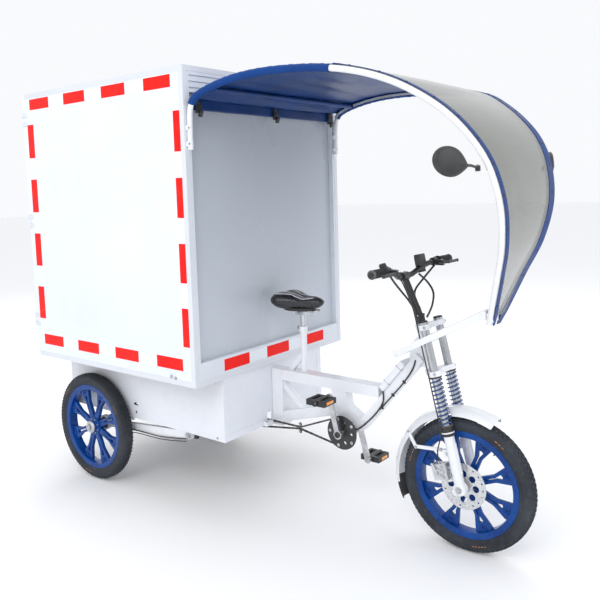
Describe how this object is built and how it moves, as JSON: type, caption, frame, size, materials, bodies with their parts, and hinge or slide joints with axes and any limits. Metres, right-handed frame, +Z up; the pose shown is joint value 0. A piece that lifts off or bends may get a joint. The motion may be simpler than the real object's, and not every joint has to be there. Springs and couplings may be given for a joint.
{
  "type": "cargo tricycle",
  "caption": "Electric cargo tricycle: tall white cargo box over two sprung rear wheels, one steered front wheel in a telescopic fork, and a bent-tube canopy with a clear windscreen.",
  "frame": {"origin": "on the ground, under the middle of the whole machine", "axes": "+X forward, +Y to the rider's left, +Z up"},
  "size_m": [2.3539, 1.0476, 1.9028],
  "materials": {
    "frame_white": "gloss white paint",
    "sheet_white": "smooth white sheet",
    "panel_grey": "smooth pale grey sheet",
    "floor_wood": "plywood with a phenolic face",
    "box_frame": "white powder coat",
    "tape": "red retroreflective film",
    "canopy_tube": "white powder coat",
    "canopy_cloth": "woven blue canopy cloth",
    "screen": "clear, slightly tinted",
    "casing_white": "gloss white",
    "dark_steel": "satin black paint",
    "chain": "oiled dark steel",
    "zinc": "zinc plated",
    "chrome": "polished",
    "cast_dark": "black cast housing",
    "alloy": "satin cast alloy",
    "black_plastic": "moulded black",
    "grip_rubber": "soft ribbed black",
    "tyre": "black tread rubber",
    "rim_blue": "blue powder coat",
    "spring_blue": "blue powder coat",
    "spring_black": "black powder coat",
    "saddle": "black vinyl with a grain"
  },
  "bodies": {
    "chassis": {"main_beam": "frame_white", "rear_frame": "frame_white", "seat_tube": "frame_white", "canopy_boom": "frame_white", "battery_case": "casing_white", "chassis_casing": "casing_white", "chassis_rails": "dark_steel", "cargo_floor": "floor_wood", "cargo_roof": "sheet_white", "cargo_side_right": "sheet_white", "cargo_side_left": "sheet_white", "cargo_front_panel": "panel_grey", "cargo_frame": "box_frame", "reflective_tape": "tape", "canopy_frame": "canopy_tube", "canopy_fabric": "canopy_cloth", "windscreen": "screen", "pedal_chain": "chain", "frame_bolts": "zinc", "door_hinges": "zinc"},
    "door_right": {"rear_door_right": "sheet_white"},
    "door_left": {"rear_door_left": "sheet_white"},
    "door_handle": {"door_handle": "black_plastic"},
    "rear_axle": {"swing_arms": "frame_white", "axle_housing": "cast_dark", "rear_springs": "spring_black", "axle_chain": "chain"},
    "axle_sprocket": {"axle_sprocket": "zinc"},
    "jackshaft": {"jackshaft": "zinc"},
    "steering": {"fork_crowns": "frame_white", "stanchions": "chrome", "stem": "dark_steel", "handlebar": "dark_steel", "grip_left": "grip_rubber", "bar_controls": "black_plastic", "brake_cable": "black_plastic"},
    "fork_lower": {"fork_sliders": "frame_white", "fork_springs": "spring_blue", "front_fender": "frame_white", "brake_caliper": "alloy"},
    "front_wheel": {"front_rim": "rim_blue", "front_tyre": "tyre", "brake_rotor": "zinc"},
    "rear_wheel_right": {"rear_rim_right": "rim_blue", "rear_tyre_right": "tyre", "half_shaft_right": "zinc"},
    "rear_wheel_left": {"rear_rim_left": "rim_blue", "rear_tyre_left": "tyre", "half_shaft_left": "zinc"},
    "crankset": {"crank_arms": "alloy", "chainring": "dark_steel"},
    "pedal_right": {"pedal_right": "black_plastic"},
    "pedal_left": {"pedal_left": "black_plastic"},
    "seat": {"seatpost": "chrome", "saddle": "saddle"},
    "throttle": {"throttle_grip": "grip_rubber"},
    "brake_lever_right": {"brake_lever_right": "dark_steel"},
    "brake_lever_left": {"brake_lever_left": "dark_steel"},
    "mirror_right": {"mirror_right": "black_plastic"},
    "mirror_left": {"mirror_left": "black_plastic"}
  },
  "joints": [
    {"name": "door_right_hinge", "type": "hinge", "parent": "chassis", "child": "door_right", "pos_m": [-1.158, -0.516, 1.26], "axis": [0, 0, 1], "range_deg": [0, 180]},
    {"name": "door_left_hinge", "type": "hinge", "parent": "chassis", "child": "door_left", "pos_m": [-1.158, 0.516, 1.26], "axis": [0, 0, -1], "range_deg": [0, 180]},
    {"name": "door_handle_turn", "type": "hinge", "parent": "door_right", "child": "door_handle", "pos_m": [-1.153, -0.06, 1.18], "axis": [1, 0, 0], "range_deg": [0, 90]},
    {"name": "rear_suspension", "type": "hinge", "parent": "chassis", "child": "rear_axle", "pos_m": [-0.258, 0, 0.321], "axis": [0, 1, 0], "range_deg": [0, 3], "stiffness_Nm_per_rad": 4000, "springref_deg": -20.05, "deforming": ["rear_springs"]},
    {"name": "axle_sprocket_spin", "type": "hinge", "parent": "rear_axle", "child": "axle_sprocket", "pos_m": [-0.874, -0.02, 0.264], "axis": [0, 1, 0], "continuous": true},
    {"name": "jackshaft_spin", "type": "hinge", "parent": "chassis", "child": "jackshaft", "pos_m": [-0.258, 0, 0.321], "axis": [0, 1, 0], "continuous": true},
    {"name": "steering_turn", "type": "hinge", "parent": "chassis", "child": "steering", "pos_m": [0.75544, 0, 0.74038], "axis": [-0.2334, 0, 0.9724], "range_deg": [-45, 45]},
    {"name": "fork_slide", "type": "slide", "parent": "steering", "child": "fork_lower", "axis": [-0.2334, 0, 0.9724], "range_m": [0, 0.05], "stiffness_N_per_m": 15000, "springref_m": -0.06, "deforming": ["fork_springs", "brake_cable"]},
    {"name": "front_wheel_spin", "type": "hinge", "parent": "fork_lower", "child": "front_wheel", "pos_m": [0.913, 0, 0.264], "axis": [0, 1, 0], "continuous": true},
    {"name": "rear_wheel_right_spin", "type": "hinge", "parent": "rear_axle", "child": "rear_wheel_right", "pos_m": [-0.874, -0.402, 0.264], "axis": [0, 1, 0], "continuous": true},
    {"name": "rear_wheel_left_spin", "type": "hinge", "parent": "rear_axle", "child": "rear_wheel_left", "pos_m": [-0.874, 0.402, 0.264], "axis": [0, 1, 0], "continuous": true},
    {"name": "crank_spin", "type": "hinge", "parent": "chassis", "child": "crankset", "pos_m": [0.378, 0, 0.375], "axis": [0, 1, 0], "continuous": true},
    {"name": "pedal_right_spin", "type": "hinge", "parent": "crankset", "child": "pedal_right", "pos_m": [0.33659, -0.15, 0.52955], "axis": [0, 1, 0], "continuous": true},
    {"name": "pedal_left_spin", "type": "hinge", "parent": "crankset", "child": "pedal_left", "pos_m": [0.41941, 0.13, 0.22045], "axis": [0, 1, 0], "continuous": true},
    {"name": "seat_height", "type": "slide", "parent": "chassis", "child": "seat", "axis": [0, 0, 1], "range_m": [-0.03, 0.06]},
    {"name": "throttle_twist", "type": "hinge", "parent": "steering", "child": "throttle", "pos_m": [0.69022, -0.267, 1.09454], "axis": [0.0545, -0.9985, 0.0091], "range_deg": [0, 60], "stiffness_Nm_per_rad": 0.4, "springref_deg": -11.46},
    {"name": "brake_lever_right_pull", "type": "hinge", "parent": "steering", "child": "brake_lever_right", "pos_m": [0.72002, -0.19, 1.08984], "axis": [0, 0, -1], "range_deg": [0, 9], "stiffness_Nm_per_rad": 4, "springref_deg": -8.59},
    {"name": "brake_lever_left_pull", "type": "hinge", "parent": "steering", "child": "brake_lever_left", "pos_m": [0.72002, 0.19, 1.08984], "axis": [0, 0, 1], "range_deg": [0, 9], "stiffness_Nm_per_rad": 4, "springref_deg": -8.59},
    {"name": "mirror_right_turn", "type": "hinge", "parent": "chassis", "child": "mirror_right", "pos_m": [1.09078, -0.30996, 1.45918], "axis": [0, 0, 1], "range_deg": [-25, 25]},
    {"name": "mirror_left_turn", "type": "hinge", "parent": "chassis", "child": "mirror_left", "pos_m": [1.09078, 0.30996, 1.45918], "axis": [0, 0, 1], "range_deg": [-25, 25]}
  ],
  "couplings": [
    {"joint": "jackshaft_spin", "follows": "crank_spin", "ratio": 2},
    {"joint": "axle_sprocket_spin", "follows": "crank_spin", "ratio": 1.6}
  ]
}
